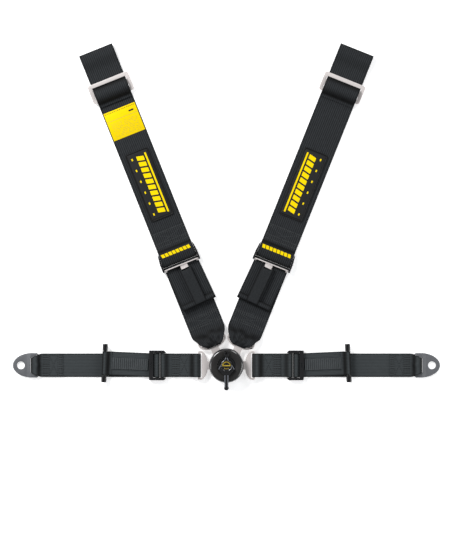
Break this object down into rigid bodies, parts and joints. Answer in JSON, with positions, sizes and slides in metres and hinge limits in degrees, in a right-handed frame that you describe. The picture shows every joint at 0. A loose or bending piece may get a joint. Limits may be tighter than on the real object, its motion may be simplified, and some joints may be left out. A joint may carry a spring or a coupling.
{
  "type": "racing harness",
  "caption": "Racing harness laid flat: rotary cam-lock buckle with lap and shoulder belts, adjusters, pull bars, three-bar slides and bolt-in end brackets.",
  "frame": {"origin": "middle of the buckle's back face", "axes": "+X along the right lap belt, +Y up between the shoulder belts, +Z up out of the buckle's front"},
  "size_m": [0.9048, 0.7344, 0.0359],
  "materials": {
    "shoulder_webbing": "ribbed polyester webbing, near black",
    "lap_webbing": "plain polyester webbing, dark grey",
    "black_metal": "gloss black coating",
    "satin_black": "satin anodised dark grey",
    "silver_steel": "satin plated",
    "grey_steel": "fine grey powder coat",
    "inner_steel": "machined",
    "black_rubber": "moulded rubber",
    "label_cloth": "yellow woven label",
    "black_plastic": "gloss"
  },
  "bodies": {
    "buckle": {"buckle_back_plate": "black_metal", "buckle_housing": "black_metal", "buckle_cover": "satin_black", "cover_screws": "inner_steel", "captive_pin": "inner_steel", "lock_springs": "inner_steel", "return_spring": "inner_steel", "right_lap_tongue": "silver_steel", "left_lap_tongue": "silver_steel", "right_shoulder_tongue": "silver_steel", "left_shoulder_tongue": "silver_steel"},
    "lever": {"release_lever": "black_metal", "lever_shaft": "inner_steel", "cam_plate": "inner_steel", "lever_cap": "black_plastic"},
    "lock": {"lifter_ring": "inner_steel", "lock_pins": "inner_steel"},
    "right_lap_inner_belt": {"right_lap_inner_strap": "lap_webbing"},
    "right_lap_adjuster": {"right_lap_adjuster_frame": "black_metal", "right_lap_adjuster_bar": "black_metal", "right_lap_feed_webbing": "lap_webbing", "right_lap_grip_strip": "black_rubber"},
    "right_lap_outer_belt": {"right_lap_outer_strap": "lap_webbing"},
    "right_lap_end_bracket": {"right_lap_bracket": "grey_steel"},
    "right_lap_tail": {"right_lap_tail_loop": "lap_webbing"},
    "right_pull_bar": {"right_pull_bar_rod": "black_plastic", "right_pull_bar_caps": "black_plastic"},
    "right_shoulder_lower_belt": {"right_shoulder_lower_strap": "shoulder_webbing"},
    "right_shoulder_feed": {"right_shoulder_feed_webbing": "shoulder_webbing"},
    "right_shoulder_tail": {"right_shoulder_tail_hem": "shoulder_webbing"},
    "right_shoulder_adjuster": {"right_shoulder_adjuster_frame": "black_metal", "right_shoulder_lock_bar": "silver_steel"},
    "right_shoulder_release": {"right_shoulder_release_strap": "shoulder_webbing"},
    "right_shoulder_upper_belt": {"right_shoulder_upper_strap": "shoulder_webbing", "right_shoulder_badge": "black_rubber"},
    "right_shoulder_bar_loop": {"right_shoulder_slide": "silver_steel", "right_shoulder_anchor_loop": "shoulder_webbing"},
    "left_lap_inner_belt": {"left_lap_inner_strap": "lap_webbing"},
    "left_lap_adjuster": {"left_lap_adjuster_frame": "black_metal", "left_lap_adjuster_bar": "black_metal", "left_lap_feed_webbing": "lap_webbing", "left_lap_grip_strip": "black_rubber"},
    "left_lap_outer_belt": {"left_lap_outer_strap": "lap_webbing"},
    "left_lap_end_bracket": {"left_lap_bracket": "grey_steel"},
    "left_lap_tail": {"left_lap_tail_loop": "lap_webbing"},
    "left_pull_bar": {"left_pull_bar_rod": "black_plastic", "left_pull_bar_caps": "black_plastic"},
    "left_shoulder_lower_belt": {"left_shoulder_lower_strap": "shoulder_webbing"},
    "left_shoulder_feed": {"left_shoulder_feed_webbing": "shoulder_webbing"},
    "left_shoulder_tail": {"left_shoulder_tail_hem": "shoulder_webbing"},
    "left_shoulder_adjuster": {"left_shoulder_adjuster_frame": "black_metal", "left_shoulder_lock_bar": "silver_steel"},
    "left_shoulder_release": {"left_shoulder_release_strap": "shoulder_webbing"},
    "left_shoulder_upper_belt": {"left_shoulder_upper_strap": "shoulder_webbing", "left_shoulder_badge": "black_rubber", "left_shoulder_label": "label_cloth"},
    "left_shoulder_bar_loop": {"left_shoulder_slide": "silver_steel", "left_shoulder_anchor_loop": "shoulder_webbing"}
  },
  "joints": [
    {"name": "lever_turn", "type": "hinge", "parent": "buckle", "child": "lever", "pos_m": [0, 0, 0], "axis": [0, 0, 1], "range_deg": [0, 45], "stiffness_Nm_per_rad": 0.15},
    {"name": "lock_lift", "type": "slide", "parent": "buckle", "child": "lock", "axis": [0, 0, 1], "range_m": [0, 0.00495], "deforming": ["lock_springs"]},
    {"name": "right_lap_belt_lift", "type": "hinge", "parent": "buckle", "child": "right_lap_inner_belt", "pos_m": [0.0582, 0, 0.0078], "axis": [0, -1, 0], "range_deg": [-60, 60]},
    {"name": "right_lap_adjuster_swing", "type": "hinge", "parent": "right_lap_inner_belt", "child": "right_lap_adjuster", "pos_m": [0.1348, 0, 0.00425], "axis": [0, -1, 0], "range_deg": [-30, 30]},
    {"name": "right_lap_length_adjust", "type": "slide", "parent": "right_lap_adjuster", "child": "right_lap_outer_belt", "axis": [1, 0, 0], "range_m": [-0.03, 0.07], "deforming": ["right_lap_feed_webbing"]},
    {"name": "right_lap_tail_feed", "type": "slide", "parent": "right_lap_adjuster", "child": "right_lap_tail", "axis": [0.999, 0.0436, 0], "range_m": [-0.07, 0.03], "deforming": ["right_lap_grip_strip"]},
    {"name": "right_pull_bar_spin", "type": "hinge", "parent": "right_lap_tail", "child": "right_pull_bar", "pos_m": [0.25789, 0.00488, 0.00895], "axis": [0.0436, -0.999, 0], "continuous": true},
    {"name": "right_lap_bracket_swing", "type": "hinge", "parent": "right_lap_outer_belt", "child": "right_lap_end_bracket", "pos_m": [0.407, 0, 0.00425], "axis": [0, -1, 0], "range_deg": [-60, 60]},
    {"name": "right_shoulder_belt_lift", "type": "hinge", "parent": "buckle", "child": "right_shoulder_lower_belt", "pos_m": [0.03161, 0.05404, 0.0078], "axis": [0.9285, -0.3714, 0], "range_deg": [-35, 45]},
    {"name": "right_shoulder_length_adjust", "type": "slide", "parent": "right_shoulder_lower_belt", "child": "right_shoulder_feed", "axis": [0.3714, 0.9285, 0], "range_m": [-0.015, 0.055], "deforming": ["right_shoulder_feed_webbing"]},
    {"name": "right_shoulder_tail_feed", "type": "slide", "parent": "right_shoulder_feed", "child": "right_shoulder_tail", "axis": [0.4226, 0.9063, 0], "range_m": [-0.015, 0.055]},
    {"name": "right_shoulder_adjuster_tilt", "type": "hinge", "parent": "right_shoulder_feed", "child": "right_shoulder_adjuster", "pos_m": [0.09616, 0.21541, 0.00375], "axis": [-0.9285, 0.3714, 0], "range_deg": [0, 35]},
    {"name": "right_shoulder_release_lift", "type": "hinge", "parent": "right_shoulder_adjuster", "child": "right_shoulder_release", "pos_m": [0.09126, 0.2049, 0.0085], "axis": [-0.9063, 0.4226, 0], "range_deg": [0, 90]},
    {"name": "right_shoulder_upper_belt_lift", "type": "hinge", "parent": "right_shoulder_adjuster", "child": "right_shoulder_upper_belt", "pos_m": [0.0995, 0.22376, 0.00425], "axis": [0.9285, -0.3714, 0], "range_deg": [-40, 40]},
    {"name": "right_shoulder_slide_travel", "type": "slide", "parent": "right_shoulder_upper_belt", "child": "right_shoulder_bar_loop", "axis": [0.3714, 0.9285, 0], "range_m": [-0.1, 0]},
    {"name": "left_lap_belt_lift", "type": "hinge", "parent": "buckle", "child": "left_lap_inner_belt", "pos_m": [-0.0582, 0, 0.0078], "axis": [0, 1, 0], "range_deg": [-60, 60]},
    {"name": "left_lap_adjuster_swing", "type": "hinge", "parent": "left_lap_inner_belt", "child": "left_lap_adjuster", "pos_m": [-0.1348, 0, 0.00425], "axis": [0, 1, 0], "range_deg": [-30, 30]},
    {"name": "left_lap_length_adjust", "type": "slide", "parent": "left_lap_adjuster", "child": "left_lap_outer_belt", "axis": [-1, 0, 0], "range_m": [-0.03, 0.07], "deforming": ["left_lap_feed_webbing"]},
    {"name": "left_lap_tail_feed", "type": "slide", "parent": "left_lap_adjuster", "child": "left_lap_tail", "axis": [-0.999, 0.0436, 0], "range_m": [-0.07, 0.03], "deforming": ["left_lap_grip_strip"]},
    {"name": "left_pull_bar_spin", "type": "hinge", "parent": "left_lap_tail", "child": "left_pull_bar", "pos_m": [-0.25789, 0.00488, 0.00895], "axis": [0.0436, 0.999, 0], "continuous": true},
    {"name": "left_lap_bracket_swing", "type": "hinge", "parent": "left_lap_outer_belt", "child": "left_lap_end_bracket", "pos_m": [-0.407, 0, 0.00425], "axis": [0, 1, 0], "range_deg": [-60, 60]},
    {"name": "left_shoulder_belt_lift", "type": "hinge", "parent": "buckle", "child": "left_shoulder_lower_belt", "pos_m": [-0.03161, 0.05404, 0.0078], "axis": [0.9285, 0.3714, 0], "range_deg": [-35, 45]},
    {"name": "left_shoulder_length_adjust", "type": "slide", "parent": "left_shoulder_lower_belt", "child": "left_shoulder_feed", "axis": [-0.3714, 0.9285, 0], "range_m": [-0.015, 0.055], "deforming": ["left_shoulder_feed_webbing"]},
    {"name": "left_shoulder_tail_feed", "type": "slide", "parent": "left_shoulder_feed", "child": "left_shoulder_tail", "axis": [-0.4226, 0.9063, 0], "range_m": [-0.015, 0.055]},
    {"name": "left_shoulder_adjuster_tilt", "type": "hinge", "parent": "left_shoulder_feed", "child": "left_shoulder_adjuster", "pos_m": [-0.09616, 0.21541, 0.00375], "axis": [-0.9285, -0.3714, 0], "range_deg": [0, 35]},
    {"name": "left_shoulder_release_lift", "type": "hinge", "parent": "left_shoulder_adjuster", "child": "left_shoulder_release", "pos_m": [-0.09126, 0.2049, 0.0085], "axis": [-0.9063, -0.4226, 0], "range_deg": [0, 90]},
    {"name": "left_shoulder_upper_belt_lift", "type": "hinge", "parent": "left_shoulder_adjuster", "child": "left_shoulder_upper_belt", "pos_m": [-0.0995, 0.22376, 0.00425], "axis": [0.9285, 0.3714, 0], "range_deg": [-40, 40]},
    {"name": "left_shoulder_slide_travel", "type": "slide", "parent": "left_shoulder_upper_belt", "child": "left_shoulder_bar_loop", "axis": [-0.3714, 0.9285, 0], "range_m": [-0.018, 0]}
  ],
  "couplings": [
    {"joint": "lock_lift", "follows": "lever_turn", "m_per_rad": 0.0063025},
    {"joint": "right_lap_tail_feed", "follows": "right_lap_length_adjust", "ratio": -1},
    {"joint": "right_shoulder_tail_feed", "follows": "right_shoulder_length_adjust", "ratio": 1},
    {"joint": "left_lap_tail_feed", "follows": "left_lap_length_adjust", "ratio": -1},
    {"joint": "left_shoulder_tail_feed", "follows": "left_shoulder_length_adjust", "ratio": 1}
  ]
}
